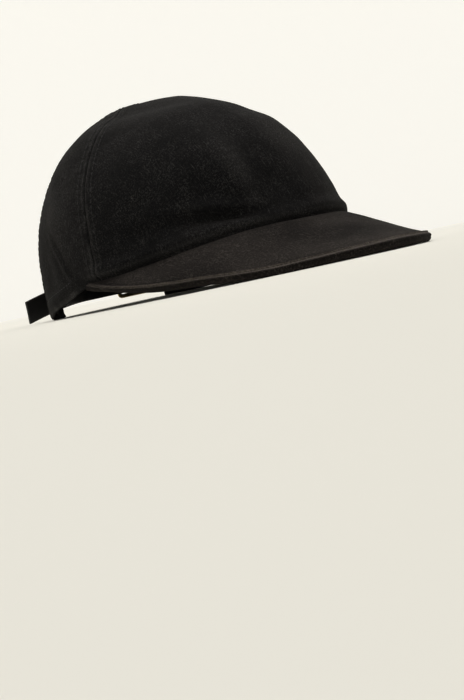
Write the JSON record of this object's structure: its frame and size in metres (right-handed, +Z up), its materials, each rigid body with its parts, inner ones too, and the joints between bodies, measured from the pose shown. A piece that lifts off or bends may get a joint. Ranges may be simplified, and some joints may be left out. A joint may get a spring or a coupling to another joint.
{
  "type": "denim cap",
  "caption": "Soft five-panel cap in black denim with a short curved peak, and a leather strap with a slide buckle across a notch in the back.",
  "frame": {"origin": "under the middle of the whole cap, on the plane it rests on", "axes": "+Z up, the peak points along -Y, the wearer's right is at -X"},
  "size_m": [0.16, 0.259, 0.104],
  "materials": {
    "crown_denim": "black denim twill, slightly faded on ridges and seams",
    "peak_denim": "black denim twill over a stiff board, faded along the edge",
    "sweatband_cloth": "plain black cotton twill",
    "strap_leather": "smooth black leather with cut edges",
    "buckle_metal": "dark antique brass, brighter at the edges"
  },
  "bodies": {
    "root": {"front_panel": "crown_denim", "side_panel_right": "crown_denim", "side_panel_left": "crown_denim", "rear_panel_right": "crown_denim", "rear_panel_left": "crown_denim", "peak": "peak_denim", "sweatband": "sweatband_cloth", "strap": "strap_leather", "buckle": "buckle_metal", "buckle_tab": "strap_leather"}
  },
  "joints": []
}
